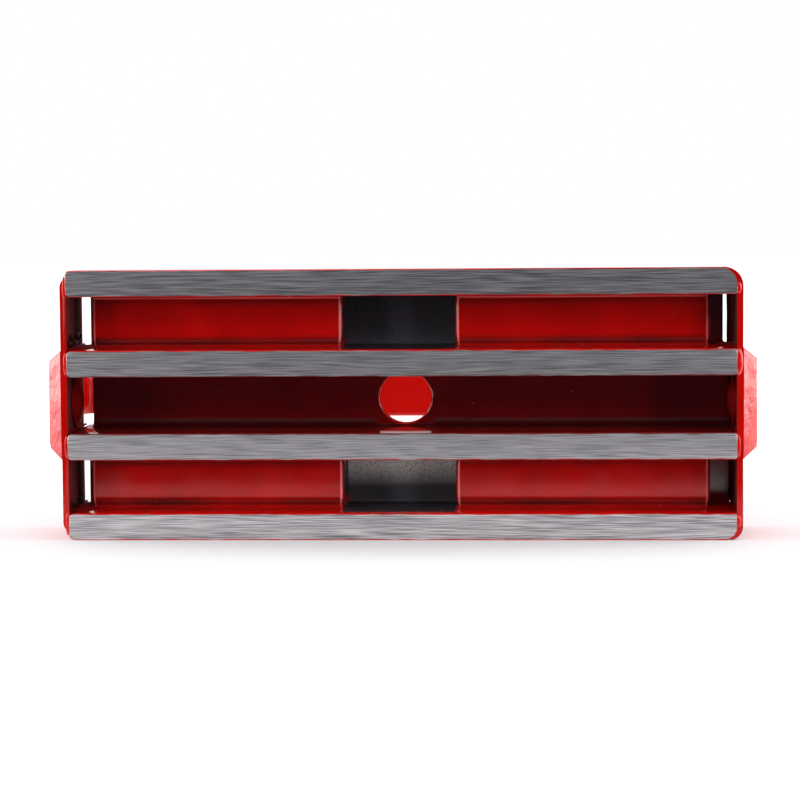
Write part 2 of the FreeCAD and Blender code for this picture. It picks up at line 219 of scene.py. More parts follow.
def enamel_material(name, with_window=False, gloss=0.36, deep=1.0, dull=0.0, runs_depth=0.08,
                    deep_ahead_of=None, matt_roughness=None, dents=None):
    """Thick glossy red enamel with soft runs, orange peel and dust nibs.

    gloss is the specular level and dull adds roughness. deep darkens the red, only ahead of the depth
    deep_ahead_of if that is given. matt_roughness is the roughness where a mesh is marked "matt". dents adds
    wider hollows (mm)."""
    material, tree, shader = new_material(name, (0.5, 0.004, 0.003), 0.14)
    where = place(tree)
    nibs = noise_of(tree, where, 2100.0, 1.0)
    dust = ramp(tree, nibs, (0.765, 0.0), (0.80, 1.0))
    shade = red_shade(tree, where, deep)
    if deep_ahead_of is not None:
        shade = mix(tree, ahead_of(tree, deep_ahead_of), red_shade(tree, where), shade)
    colour = paint_with_painted_light(tree, shade)
    colour = mix(tree, maths(tree, "MULTIPLY", dust, 0.55), colour, (0.62, 0.22, 0.18))
    roughness = ramp(tree, noise_of(tree, where, 260.0, 4.0), (0.35, 0.08 + dull), (0.8, 0.18 + dull))
    if matt_roughness is not None:
        roughness = mix(tree, share_of(tree, "matt"), roughness, (matt_roughness,) * 3)
    if with_window:
        bare = window_share(tree)
        grain = noise_of(tree, where, 1500.0, 4.0, 0.7)
        scale = ramp(tree, grain, (0.35, (0.008, 0.007, 0.012)), (0.75, (0.030, 0.026, 0.036)))
        colour = mix(tree, bare, colour, scale)
        roughness = mix(tree, bare, roughness, (0.42, 0.42, 0.42))
    tree.links.new(colour, shader.inputs["Base Color"])
    tree.links.new(roughness, shader.inputs["Roughness"])
    shader.inputs["Specular IOR Level"].default_value = gloss
    runs = bump(tree, shader, noise_of(tree, where, 130.0, 2.0), runs_depth * MM, 0.45)
    if dents is not None:
        hollows = noise_of(tree, place(tree, (300, 300, 170)), 1.0, 3.0)
        runs = bump(tree, shader, hollows, dents * MM, 1.0, under=runs)
    peel = bump(tree, shader, noise_of(tree, where, 900.0, 2.0), 0.015 * MM, 0.5, under=runs)
    bump(tree, shader, dust, 0.04 * MM, 1.0, under=peel)
    return material


def ground_material():
    """Surface-ground steel: long fine scratches along the plate, a little wavy and uneven in depth."""
    material, tree, shader = new_material("ground_steel", (0.7, 0.7, 0.7), 0.38, 1.0)
    sway = noise_of(tree, place(tree, (25, 25, 90)), 1.0, 1.0)
    lift = maths(tree, "MULTIPLY", maths(tree, "SUBTRACT", sway, 0.5), 1.6 * MM)
    shift = add(tree, "ShaderNodeCombineXYZ")
    tree.links.new(lift, shift.inputs["Z"])
    coordinates = add(tree, "ShaderNodeTexCoord")
    swayed = add(tree, "ShaderNodeVectorMath", operation="ADD")
    tree.links.new(coordinates.outputs["Object"], swayed.inputs[0])
    tree.links.new(shift.outputs["Vector"], swayed.inputs[1])

    def streaks(along, across, detail, slant):
        mapping = add(tree, "ShaderNodeMapping",
                      sockets={"Rotation": (0, math.radians(slant), 0), "Scale": (along, 400, across)})
        tree.links.new(swayed.outputs["Vector"], mapping.inputs["Vector"])
        return noise_of(tree, mapping.outputs["Vector"], 1.0, detail, 0.6)

    fine = streaks(125, 7000, 0.0, 0.7)
    coarse = streaks(85, 8600, 0.0, -0.9)
    scratches = streaks(100, 7600, 0.0, 1.2)
    patches = noise_of(tree, place(tree, (70, 70, 200)), 1.0, 3.0)
    tone = maths(tree, "ADD", maths(tree, "MULTIPLY", fine, 0.5), maths(tree, "MULTIPLY", coarse, 0.5))
    plain = (0.46, 0.45, 0.46)
    colour = ramp(tree, tone, (0.36, (0.13, 0.129, 0.137)), (0.5, plain), (0.64, (0.86, 0.845, 0.845)))
    worn = ramp(tree, patches, (0.3, (0.80, 0.785, 0.80)), (0.7, (0.93, 0.91, 0.915)))
    # Painted reflection: each face's brightness and how even its streaks are follow its painted reflection
    # value.
    evenness = maths(tree, "MULTIPLY", share_of(tree, "painted_reflection"), 0.45)
    steel = mix(tree, 1.0, mix(tree, evenness, colour, plain), worn, "MULTIPLY")
    painted_reflection = mix(tree, share_of(tree, "painted_reflection"), (0.70, 0.70, 0.71), (1.42, 1.41, 1.41))
    steel = mix(tree, 1.0, steel, painted_reflection, "MULTIPLY")
    scratched = ramp(tree, scratches, (0.24, 0.7), (0.40, 0.0))
    tree.links.new(mix(tree, scratched, steel, (0.09, 0.09, 0.10)), shader.inputs["Base Color"])
    tree.links.new(ramp(tree, tone, (0.3, 0.46), (0.7, 0.32)), shader.inputs["Roughness"])
    shader.inputs["Anisotropic"].default_value = 0.7
    tangent = add(tree, "ShaderNodeTangent", direction_type="RADIAL", axis="Z")
    tree.links.new(tangent.outputs["Tangent"], shader.inputs["Tangent"])
    bump(tree, shader, tone, 0.012 * MM, 1.0)
    return material


def strip_material(name, bare_colour_and_painted_light, grain_scale, grain_depth, contrast=1.0, painted_shade_below=None):
    """A back strip: enamelled, and bare where the window between the magnets was masked."""
    material, tree, shader = new_material(name, bare_colour_and_painted_light, 0.5)
    where = place(tree)
    grain = noise_of(tree, where, grain_scale, 5.0, 0.75)
    dark = tuple(c * (1 - 0.8 * contrast) for c in bare_colour_and_painted_light)
    pale = tuple(min(1.0, c * (1 + 1.6 * contrast)) for c in bare_colour_and_painted_light)
    scale = ramp(tree, grain, (0.36, dark), (0.47, bare_colour_and_painted_light), (0.58, pale))
    # Painted shade: towards the bottom the bare grain darkens to grey-blue.
    if painted_shade_below is not None:
        parts = add(tree, "ShaderNodeSeparateXYZ")
        tree.links.new(where, parts.inputs["Vector"])
        above = maths(tree, "SUBTRACT", parts.outputs["Z"], painted_shade_below - 2.4 * MM)
        climb = maths(tree, "DIVIDE", above, 5.0 * MM)
        scale = mix(tree, ramp(tree, climb, (0.0, 0.0), (1.0, 1.0)), (0.045, 0.038, 0.055), scale)
    bare = window_share(tree)
    tree.links.new(mix(tree, bare, red_shade(tree, where), scale), shader.inputs["Base Color"])
    tree.links.new(mix(tree, bare, (0.14, 0.14, 0.14), (0.5, 0.5, 0.5)), shader.inputs["Roughness"])
    shader.inputs["Specular IOR Level"].default_value = 0.8
    bump(tree, shader, maths(tree, "MULTIPLY", grain, bare), grain_depth * MM, 1.0)
    return material


def vinyl_material():
    """Soft dipped vinyl of the grip: slightly satin, with fine pits."""
    material, tree, shader = new_material("grip_vinyl", (0.62, 0.006, 0.003), 0.33)
    where = place(tree)
    clouds = noise_of(tree, where, 60.0)
    colour = ramp(tree, clouds, (0.3, (0.66, 0.006, 0.003)), (0.7, (0.80, 0.010, 0.004)))
    tree.links.new(colour, shader.inputs["Base Color"])
    satin = ramp(tree, noise_of(tree, where, 400.0), (0.3, 0.26), (0.7, 0.42))
    tree.links.new(satin, shader.inputs["Roughness"])
    bump(tree, shader, noise_of(tree, where, 1600.0, 3.0), 0.03 * MM, 0.6)
    return material


def fibre_material():
    """Brown pressed fibre of the friction washers."""
    material, tree, shader = new_material("washer_fibre", (0.14, 0.08, 0.05), 0.8)
    where = place(tree)
    strands = noise_of(tree, where, 2600.0, 4.0)
    tree.links.new(ramp(tree, strands, (0.3, (0.09, 0.05, 0.03)), (0.7, (0.22, 0.14, 0.09))),
                   shader.inputs["Base Color"])
    bump(tree, shader, strands, 0.05 * MM, 0.6)
    return material


def floor_material():
    """Matt white table paper, glowing away from the holder so that it runs into the white background."""
    material, tree, shader = new_material("table_paper", (0.9, 0.9, 0.9), 0.8)
    where = place(tree)
    fibres = noise_of(tree, where, 700.0, 3.0)
    tree.links.new(ramp(tree, fibres, (0.3, (0.74, 0.745, 0.76)), (0.7, (0.77, 0.775, 0.79))),
                   shader.inputs["Base Color"])
    bump(tree, shader, fibres, 0.02 * MM, 0.3)
    distance = add(tree, "ShaderNodeVectorMath", operation="LENGTH")
    tree.links.new(where, distance.inputs[0])
    near_glow = ramp(tree, distance.outputs["Value"], (0.12, 0.0), (0.42, 1.0))
    parts = add(tree, "ShaderNodeSeparateXYZ")
    tree.links.new(where, parts.inputs["Vector"])
    near_glow = maths(tree, "MULTIPLY", near_glow, maths(tree, "GREATER_THAN", parts.outputs["Y"], 0.0))
    far_glow = ramp(tree, distance.outputs["Value"], (0.30, 0.0), (0.60, 1.0))
    glow = maths(tree, "MAXIMUM", near_glow, far_glow)
    tree.links.new(glow, shader.inputs["Emission Strength"])
    shader.inputs["Emission Color"].default_value = (1, 1, 1, 1)
    return material


enamel = enamel_material("red_enamel")
plate_enamel = enamel_material("red_enamel_with_bare_window", with_window=True, gloss=0.5,
                               matt_roughness=0.8)
# End plates: a little deeper red overall, with painted shade on their insides.
wall_enamel = enamel_material("red_enamel_overspray_with_painted_shade_inside", gloss=0.3, deep=0.8, matt_roughness=1.0)
# Darker red: painted shade in the inner corners of the gaps.
corner_enamel = enamel_material("red_enamel_in_the_corners", gloss=0.06, deep=0.4, dull=0.5)
# Darker red: painted shade on the rivet heads and washers inside the end plates.
rivet_enamel = enamel_material("red_enamel_of_the_rivets", gloss=0.1, deep=0.35, dull=0.4)
# Darker red: painted shade over the web's front, deep in the middle gap.
web_enamel = enamel_material("red_enamel_of_the_web", gloss=0.5, deep=0.3,
                             deep_ahead_of=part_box("web_plate")[1].y - 0.2 * MM)
# Near-black red: painted shade in the beads along the web.
bead_enamel = enamel_material("red_enamel_under_the_web_in_painted_shade", gloss=0.3, deep=0.12, dull=0.4)
# Darker red: painted shade in the pools at the feet of the end plates.
pool_enamel = enamel_material("red_enamel_in_pools_with_painted_shade", gloss=0.02, deep=0.5, dull=0.6)
# Near-black red: painted shade on the drips at the foot of the left end plate.
drip_enamel = enamel_material("red_enamel_of_the_drips_in_painted_shade", gloss=0.25, deep=0.05, dull=0.3)
hub_enamel = enamel_material("red_enamel_of_the_hubs", gloss=0.85, dull=0.14, runs_depth=0.4, dents=0.5)
magnet_skin = enamel_material("magnet_enamel_bare_ends", with_window=True, deep=0.88)
ground = ground_material()
# The lower strip's pale bare grain is painted light from the floor's bounce; the upper strip's dark scale is
# its own colour.
lower_strip_skin = strip_material("lower_strip_bare_grain_in_painted_light", (0.95, 0.82, 0.76), 2600.0, 0.2, contrast=0.85,
                                  painted_shade_below=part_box("magnet_lower_left")[0].z + 6 * MM)
upper_strip_skin = strip_material("upper_strip_dark_scale", (0.026, 0.021, 0.034), 1200.0, 0.01,
                                  contrast=0.4)
vinyl = vinyl_material()
fibre = fibre_material()

# ---------------------------------------------------------------- mesh tools


def finish_piece(name, mesh, material, body, replaces=(), smooth=True):
    """Link a mesh as a piece that rides on a CAD body."""
    if smooth:
        mesh.shade_smooth()
        mesh.set_sharp_from_angle(angle=math.radians(38))
    piece = bpy.data.objects.new(name, mesh)
    bpy.context.scene.collection.objects.link(piece)
    mesh.materials.append(material)
    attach(piece, body)
    if replaces:
        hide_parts(*replaces)


def mesh_from(name, build):
    """A mesh filled by build(bm), with its normals turned outwards."""
    bm = bmesh.new()
    build(bm)
    bmesh.ops.recalc_face_normals(bm, faces=bm.faces)
    mesh = bpy.data.meshes.new(name)
    bm.to_mesh(mesh)
    bm.free()
    return mesh


def arc(centre, radius, start, end, steps):
    """Points on an arc in a plane, angles in degrees."""
    return [(centre[0] + radius * math.cos(math.radians(start + (end - start) * i / steps)),
             centre[1] + radius * math.sin(math.radians(start + (end - start) * i / steps)))
            for i in range(steps + 1)]


def outline(low, high, radii, step=None, wave=0.0, seed=0.0, steps=None):
    """Rounded rectangle as points, anticlockwise from the low right.

    radii are for (low right, high right, high left, low left), and steps divides each corner. With a step,
    every side is divided at that spacing and its height wanders by up to wave."""
    (x0, z0), (x1, z1) = low, high
    points = []
    corners = [((x1, z0), (-1, 1), -90), ((x1, z1), (-1, -1), 0),
               ((x0, z1), (1, -1), 90), ((x0, z0), (1, 1), 180)]
    for (corner, inward, start), radius in zip(corners, radii):
        centre = (corner[0] + inward[0] * radius, corner[1] + inward[1] * radius)
        points += arc(centre, radius, start, start + 90, steps or max(3, round(radius / (0.25 * MM))))
    if step is None:
        return points
    divided = []
    for here, after in zip(points, points[1:] + points[:1]):
        divided.append(here)
        count = int(math.dist(here, after) / step)
        for i in range(1, count):
            share = i / count
            divided.append((here[0] + (after[0] - here[0]) * share, here[1] + (after[1] - here[1]) * share))
    if wave:
        divided = [(x, z + wave * noise.noise(Vector((x * 300, z * 300 + seed, seed)))) for x, z in divided]
    return divided


def prism(bm, points, to_world, depth, round_radius=0.0, segments=3):
    """Extrude a flat outline; to_world maps (u, v, w) to the frame, w running from 0 to depth."""
    front = [bm.verts.new(to_world(u, v, 0.0)) for u, v in points]
    back = [bm.verts.new(to_world(u, v, depth)) for u, v in points]
    cap_front = bm.faces.new(front)
    cap_back = bm.faces.new(list(reversed(back)))
    count = len(points)
    for i in range(count):
        bm.faces.new((front[i], back[i], back[(i + 1) % count], front[(i + 1) % count]))
    if round_radius:
        rim = set(cap_front.edges) | set(cap_back.edges)
        bmesh.ops.bevel(bm, geom=list(rim), offset=round_radius, segments=segments, profile=0.5,
                        affect="EDGES", clamp_overlap=True)


def lens(bm, centre, half_sizes, rings=10, sectors=20):
    """A closed ellipsoid drop of paint."""
    top = bm.verts.new(centre + Vector((0, 0, half_sizes.z)))
    bottom = bm.verts.new(centre - Vector((0, 0, half_sizes.z)))
    rows = []
    for i in range(1, rings):
        polar = math.pi * i / rings
        rows.append([bm.verts.new(centre + Vector((
            half_sizes.x * math.sin(polar) * math.cos(2 * math.pi * j / sectors),
            half_sizes.y * math.sin(polar) * math.sin(2 * math.pi * j / sectors),
            half_sizes.z * math.cos(polar)))) for j in range(sectors)])
    for j in range(sectors):
        after = (j + 1) % sectors
        bm.faces.new((top, rows[0][j], rows[0][after]))
        bm.faces.new((bottom, rows[-1][after], rows[-1][j]))
        for upper, lower in zip(rows, rows[1:]):
            bm.faces.new((upper[j], lower[j], lower[after], upper[after]))


def fillet_strip(bm, start, end, side_a, side_b, radius, steps=6, wander=0.15):
    """A concave bead of paint along an inner corner; side_a and side_b are unit vectors along the walls."""
    length = (end - start).length
    stations = max(2, int(length / (2.5 * MM)))
    rows = []
    for i in range(stations + 1):
        spot = start.lerp(end, i / stations)
        swell = 1 + wander * noise.noise(spot * 220)
        r = radius * swell
        centre = spot + (side_a + side_b) * r
        row = [bm.verts.new(spot - (side_a + side_b) * 0.1 * MM)]
        for k in range(steps + 1):
            turn = math.pi / 2 * k / steps
            row.append(bm.verts.new(centre - side_a * r * math.sin(turn) - side_b * r * math.cos(turn)))
        rows.append(row)
    for first, second in zip(rows, rows[1:]):
        for k in range(len(first)):
            after = (k + 1) % len(first)
            bm.faces.new((first[k], first[after], second[after], second[k]))
    bm.faces.new(rows[0])
    bm.faces.new(list(reversed(rows[-1])))


def sweep(bm, path, profile):
    """Sweep a closed profile along a flat path; profile(share) gives its points as (across, up)."""
    rows = []
    for i, spot in enumerate(path):
        before = path[max(i - 1, 0)]
        after = path[min(i + 1, len(path) - 1)]
        along = (after - before).normalized()
        across = Vector((along.y, -along.x, 0))
        section = profile(i / (len(path) - 1))
        rows.append([bm.verts.new(spot + across * a + Vector((0, 0, u))) for a, u in section])
    for first, second in zip(rows, rows[1:]):
        for k in range(len(first)):
            after = (k + 1) % len(first)
            bm.faces.new((first[k], first[after], second[after], second[k]))
    bm.faces.new(rows[0])
    bm.faces.new(list(reversed(rows[-1])))


# ---------------------------------------------------------------- block


def plate_radii(node):
    """Corner radii of a plate seen from the front: (low right, high right, high left, low left)."""
    small = 0.5 * MM
    if node == "pole_plate_top":
        return small, PLATE_CORNER, CORNER_LEFT, CORNER_LEFT
    if node == "pole_plate_bottom":
        return PLATE_CORNER * 0.8, small, CORNER_LEFT, CORNER_LEFT * 1.3
    return small, small, CORNER_LEFT, CORNER_LEFT * 0.8


def build_pole_plate(node, seed):
    """Enamelled bar and its bare ground front face."""
    low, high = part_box(node)
    radii = plate_radii(node)

    def body(bm):
        shade_layer = bm.verts.layers.float.new("painted_shade")
        matt = bm.verts.layers.float.new("matt")
        points = outline((low.x, low.z), (high.x, high.z), radii)
        prism(bm, points, lambda u, v, w: Vector((u, low.y + GROUND_PROUD + w, v)),
              high.y - low.y - GROUND_PROUD, PAINT_ROUND)
        # Painted shade: the painted edges next to the middle gap are darkened and made matt.
        level = {"pole_plate_lower_mid": high.z, "pole_plate_upper_mid": low.z}.get(node)
        for vertex in bm.verts:
            from_level = abs(vertex.co.z - level) if level else 1.0
            vertex[shade_layer] = 0.85 if from_level < PAINT_ROUND else 0.0
            vertex[matt] = 1.0 if 0.02 * MM < from_level < PAINT_ROUND else 0.0

    def face(bm):
        painted_reflection = bm.verts.layers.float.new("painted_reflection")
        inset = GROUND_INSET
        points = outline((low.x + inset, low.z + inset), (high.x - inset, high.z - inset),
                         [r * 0.95 for r in radii], 1.2 * MM, 0.16 * MM, seed)
        prism(bm, points, lambda u, v, w: Vector((u, low.y + w, v)), GROUND_DEPTH, 0.04 * MM, 1)
        for vertex in bm.verts:
            vertex[painted_reflection] = PAINTED_REFLECTION[node]

    finish_piece(node + "_enamel", mesh_from(node + "_enamel", body), plate_enamel, BLOCK, [node])
    finish_piece(node + "_ground_face", mesh_from(node + "_ground_face", face), ground, BLOCK,
                 smooth=False)


def plan_path(low, high, radius):
    """The front of a block seen from above, corners rounded: (spot, outward direction), left to right."""
    steps = 14
    path = [(Vector((low.x, high.y, 0)), Vector((-1, 0, 0)))]
    for centre_x, start, end in ((low.x + radius, 180, 270), (high.x - radius, 270, 360)):
        for i in range(steps + 1):
            turn = math.radians(start + (end - start) * i / steps)
            outward = Vector((math.cos(turn), math.sin(turn), 0))
            path.append((Vector((centre_x, low.y + radius, 0)) + outward * radius, outward))
        if end == 270:
            run = int((high.x - low.x) / (3 * MM))
            first_x = path[-1][0].x
            length = high.x - radius - first_x
            path += [(Vector((first_x + length * i / run, low.y, 0)), Vector((0, -1, 0)))
                     for i in range(1, run)]
    path.append((Vector((high.x, high.y, 0)), Vector((1, 0, 0))))
    return path


def magnet_profile(low_z, high_z):
    """A painted magnet's upright profile, (height, inset, painted highlight, painted shade), foot to top."""
    foot = ((0.00, -0.35, 0.0, 0.3), (0.12, 0.05, 0.0, 0.3), (0.30, 0.32, 0.0, 0.4), (0.60, 0.45, 0.0, 0.9),
            (0.90, 0.34, 0.0, 1.0), (1.25, 0.18, 0.0, 1.0), (1.70, 0.07, 0.0, 0.85), (2.30, 0.01, 0.0, 0.35),
            (3.00, 0.00, 0.0, 0.0))
    head = ((3.60, 0.00, 0.0, 0.0), (2.60, 0.01, 0.0, 0.25), (2.00, 0.06, 0.0, 0.6), (1.50, 0.14, 0.0, 0.75),
            (1.10, 0.26, 0.0, 0.4), (0.95, 0.32, 0.7, 0.0), (0.80, 0.34, 0.7, 0.0), (0.65, 0.30, 0.0, 0.0),
            (0.35, 0.10, 0.0, 0.0), (0.12, -0.25, 0.0, 0.0), (0.00, -0.65, 0.0, 0.0))
    profile = [(low_z + up * MM, inset * MM, painted_highlight, painted_shade) for up, inset, painted_highlight, painted_shade in foot]
    return profile + [(high_z - down * MM, inset * MM, painted_highlight, painted_shade) for down, inset, painted_highlight, painted_shade in head]


def build_magnet(node):
    """Enamelled magnet with rounded upright edges, joined to both plates by beads of paint."""
    low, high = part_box(node)
    path = plan_path(low, high, 1.2 * MM)
    profile = magnet_profile(low.z, high.z)

    def block(bm):
        highlight_layer = bm.verts.layers.float.new("painted_highlight")
        shade_layer = bm.verts.layers.float.new("painted_shade")
        rings = []
        for level, inset, painted_highlight, painted_shade in profile:
            ring = []
            along = abs(2 * (level - low.z) / (high.z - low.z) - 1)
            for spot, outward in path:
                vertex = bm.verts.new(Vector((spot.x, spot.y, level)) - outward * inset)
                # Painted highlight down the rounded upright edges and in a line just under the top bead;
                # painted shade in bands at the foot and under the top.
                edge = max(0.0, 1 - ((abs(outward.x) - 0.40) / 0.22) ** 2) * max(0.0, 1 - along ** 8)
                wander = 0.5 + 0.9 * noise.noise(Vector((spot.x * 60, level * 90, 3.1)))
                vertex[highlight_layer] = max(edge, painted_highlight * max(0.0, -outward.y) * (0.6 + 0.6 * wander))
                vertex[shade_layer] = painted_shade * max(0.0, -outward.y) * (0.55 + 0.6 * wander)
                ring.append(vertex)
            rings.append(ring)
        for first, second in zip(rings, rings[1:]):
            for i in range(len(first)):
                after = (i + 1) % len(first)
                bm.faces.new((first[i], first[after], second[after], second[i]))
        bm.faces.new(rings[0])
        bm.faces.new(list(reversed(rings[-1])))

    finish_piece(node + "_enamel", mesh_from(node + "_enamel", block), magnet_skin, BLOCK, [node])


def shell_path(side):
    """Outer line of an end plate seen from the front, top down, as (x, z); side is +1 right, -1 left."""
    if side > 0:
        foot = 3.0 * MM
        points = arc((shell_end - CORNER_RIGHT, block_top - CORNER_RIGHT), CORNER_RIGHT, 91, 0, 16)
        return points + arc((shell_end - foot, foot), foot, 0, -84, 14)
    radius, top, foot = 2.4 * MM, block_top - 1.4 * MM, 1.5 * MM
    points = arc((shell_end - radius, top - radius), radius, 62, 0, 8)
    points += arc((shell_end - radius, foot + radius), radius, 0, -55, 8)
    return [(-x, z) for x, z in points]


def build_end_plate(node, side):
    """Sheet end plate dressed round the corners of the block, its rear inner edge thinned outwards."""
    low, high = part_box(node)
    outer = shell_path(side)
    tuck = 0.5 * MM
    thinned = 0.15 * MM if side > 0 else WALL_THINNED
    under_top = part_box(PLATES[-1])[0].z + tuck
    over_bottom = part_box(PLATES[0])[1].z - tuck
    head = min(abs(outer[0][0]), plate_end - 1 * MM)
    foot = min(abs(outer[-1][0]), plate_end - 1 * MM)
    points = outer + [(side * foot, over_bottom), (side * plate_end, over_bottom),
                      (side * plate_end, under_top), (side * head, under_top)]

    def sheet(bm):
        painted_shading = bm.verts.layers.float.new("painted_shade")
        matt = bm.verts.layers.float.new("matt")
        prism(bm, points, lambda u, v, w: Vector((u, low.y + w, v)), high.y - low.y, 0.18 * MM, 3)
        # Painted shade: the inner faces in the gaps are darkened and made matt; the rear inner edge is
        # thinned outwards.
        for vertex in bm.verts:
            in_gaps = over_bottom - 0.3 * MM < vertex.co.z < under_top + 0.3 * MM
            inside = in_gaps and abs(vertex.co.x) < plate_end + 0.35 * MM and vertex.co.y > low.y + 0.15 * MM
            vertex[painted_shading] = 0.95 if inside else 0.0
            vertex[matt] = 1.0 if inside else 0.0
            if inside and abs(vertex.co.x) > plate_end - 0.3 * MM and vertex.co.y > high.y - 0.3 * MM:
                vertex.co.x += side * thinned

    finish_piece(node + "_enamel", mesh_from(node + "_enamel", sheet), wall_enamel, BLOCK, [node])


def build_end_welds():
    """Painted weld beads between the ends of the pole plates and the front edges of the end plates."""
    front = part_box("end_plate_right")[0].y
    full, slim, corner = (0.95, 0.6, 3.0), (0.42, 0.35, 2.6), (0.6, 0.5, 1.3)
    shapes = {"right": ((corner, 1.2), (slim, 0.0), (full, 0.0), (corner, -1.6)),
              "left": ((slim, 0.6), (slim, 0.0), (slim, 0.0), (slim, -0.9))}

    for name, rows in shapes.items():
        side = 1 if name == "right" else -1

        def beads(bm):
            highlight_layer = bm.verts.layers.float.new("painted_highlight")
            for node, (half, lift) in zip(PLATES, rows):
                low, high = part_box(node)
                half = Vector(half) * MM
                middle = (low.z + high.z) / 2
                centre = Vector((side * (plate_end + 0.25 * MM), front + 0.12 * MM, middle + lift * MM))
                before = len(bm.verts)
                lens(bm, centre, half)
                bm.verts.ensure_lookup_table()
                for vertex in bm.verts[before:]:
                    reach = math.hypot((vertex.co.x - centre.x) / half.x, (vertex.co.z - centre.z) / half.z)
                    in_front = vertex.co.y < centre.y + 0.1 * MM
                    # Painted highlight round the front outline of each bead.
                    vertex[highlight_layer] = 0.6 * max(0.0, (reach - 0.72) / 0.28) * in_front

        def rear_beads(bm):
            for i, node in enumerate(PLATES):
                low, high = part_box(node)
                inward = (1.3, 0.0, 0.0, -1.3)[i] * MM
                middle = (low.z + high.z) / 2
                centre = Vector((side * (plate_end + 0.3 * MM), back_y - 0.5 * MM, middle + inward))
                lens(bm, centre, Vector((0.7, 0.46, 1.7 if inward else 2.5)) * MM)

        for piece, build in ((f"end_welds_{name}", beads), (f"rear_welds_{name}", rear_beads)):
            finish_piece(piece, mesh_from(piece, build), enamel, BLOCK)


def build_inner_beads():
    """Paint drawn into the inner corners of the three gaps."""
    web_low, web_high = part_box("web_plate")

    def wall_beads(bm):
        for below, above in zip(PLATES, PLATES[1:]):
            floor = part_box(below)[1].z
            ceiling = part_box(above)[0].z
            for side in (-1, 1):
                for level, up in ((floor, 1), (ceiling, -1)):
                    fillet_strip(bm, Vector((side * plate_end, face_y + 1.2 * MM, level)),
                                 Vector((side * plate_end, back_y - 0.3 * MM, level)),
                                 Vector((-side, 0, 0)), Vector((0, 0, up)), 0.4 * MM)
            rear = back_y - 0.4 * MM
            fillet_strip(bm, Vector((plate_end, rear, floor)), Vector((plate_end, rear, ceiling)),
                         Vector((-1, 0, 0)), Vector((0, -1, 0)), 1.15 * MM)

        strip_low, strip_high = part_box("back_strip_upper")
        for level, up in ((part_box("pole_plate_upper_mid")[1].z, 1), (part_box("pole_plate_top")[0].z, -1)):
            fillet_strip(bm, Vector((strip_high.x + END_BEAD, strip_low.y, level)),
                         Vector((strip_high.x + END_BEAD, strip_high.y, level)),
                         Vector((1, 0, 0)), Vector((0, 0, up)), 0.6 * MM)
        points = outline((strip_high.x - 0.3 * MM, strip_low.z), (strip_high.x + END_BEAD, strip_high.z),
                         [0.15 * MM] * 4)
        prism(bm, points, lambda u, v, w: Vector((u, strip_low.y + 0.1 * MM + w, v)),
              strip_high.y - strip_low.y - 0.2 * MM, 0.12 * MM)

    def web_beads(bm):
        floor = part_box("pole_plate_lower_mid")[1].z
        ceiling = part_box("pole_plate_upper_mid")[0].z
        beside_bore = 6.6 * MM
        runs = ((web_low.x, -beside_bore, 1.5 * MM), (-beside_bore, beside_bore, 0.25 * MM),
                (beside_bore, web_high.x, 1.5 * MM))
        for start, end, radius in runs:
            fillet_strip(bm, Vector((start, web_low.y, floor)), Vector((end, web_low.y, floor)),
                         Vector((0, -1, 0)), Vector((0, 0, 1)), radius)
        fillet_strip(bm, Vector((web_low.x, web_low.y, ceiling)), Vector((web_high.x, web_low.y, ceiling)),
                     Vector((0, -1, 0)), Vector((0, 0, -1)), 0.45 * MM)
        for level, up in ((floor, 1), (ceiling, -1)):
            fillet_strip(bm, Vector((web_low.x, web_high.y, level)), Vector((web_high.x, web_high.y, level)),
                         Vector((0, 1, 0)), Vector((0, 0, up)), 0.15 * MM)

    for piece, build, skin in (("wall_paint_beads", wall_beads, corner_enamel),
                               ("web_paint_beads", web_beads, bead_enamel)):
        finish_piece(piece, mesh_from(piece, build), skin, BLOCK)


def build_drips():
    """Paint at the feet of the end plates' inner sides: drips on the left wall, flat pools on both."""
    floors = [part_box(node)[1].z for node in ("pole_plate_upper_mid", "pole_plate_bottom")]

    def drips(bm):
        drips_in_a_gap, spacing = 26, 0.74
        for floor, seed in zip(floors, (1.7, 6.2)):
            for i in range(drips_in_a_gap):
                first = abs(noise.noise(Vector((i * 1.93, seed, 0.4))))
                second = abs(noise.noise(Vector((seed, i * 2.37, 5.1))))
                depth = (3.5 + spacing * i) * MM
                wall_x = -plate_end - WALL_THINNED * depth / (back_y - face_y)
                spot = Vector((wall_x + (0.1 + 1.2 * first * second) * MM, face_y + depth,
                               floor + (0.1 + 4.4 * first) * MM))
                lens(bm, spot, Vector((0.25 + 0.5 * second, 0.8, 0.4 + 1.0 * second)) * MM, 6, 10)

    def pools(bm):
        middle = (face_y + back_y) / 2 + 1.2 * MM
        half_length = (back_y - face_y) / 2 - 1.5 * MM
        for floor in floors:
            for side, reach in ((-1, 3.0), (1, 2.6)):
                centre = Vector((side * (plate_end - (reach - 0.5) * MM), middle, floor))
                lens(bm, centre, Vector((reach * MM, half_length, 0.25 * MM)), 8, 24)

    finish_piece("left_wall_drips", mesh_from("left_wall_drips", drips), drip_enamel, BLOCK)
    finish_piece("wall_foot_pools", mesh_from("wall_foot_pools", pools), pool_enamel, BLOCK)


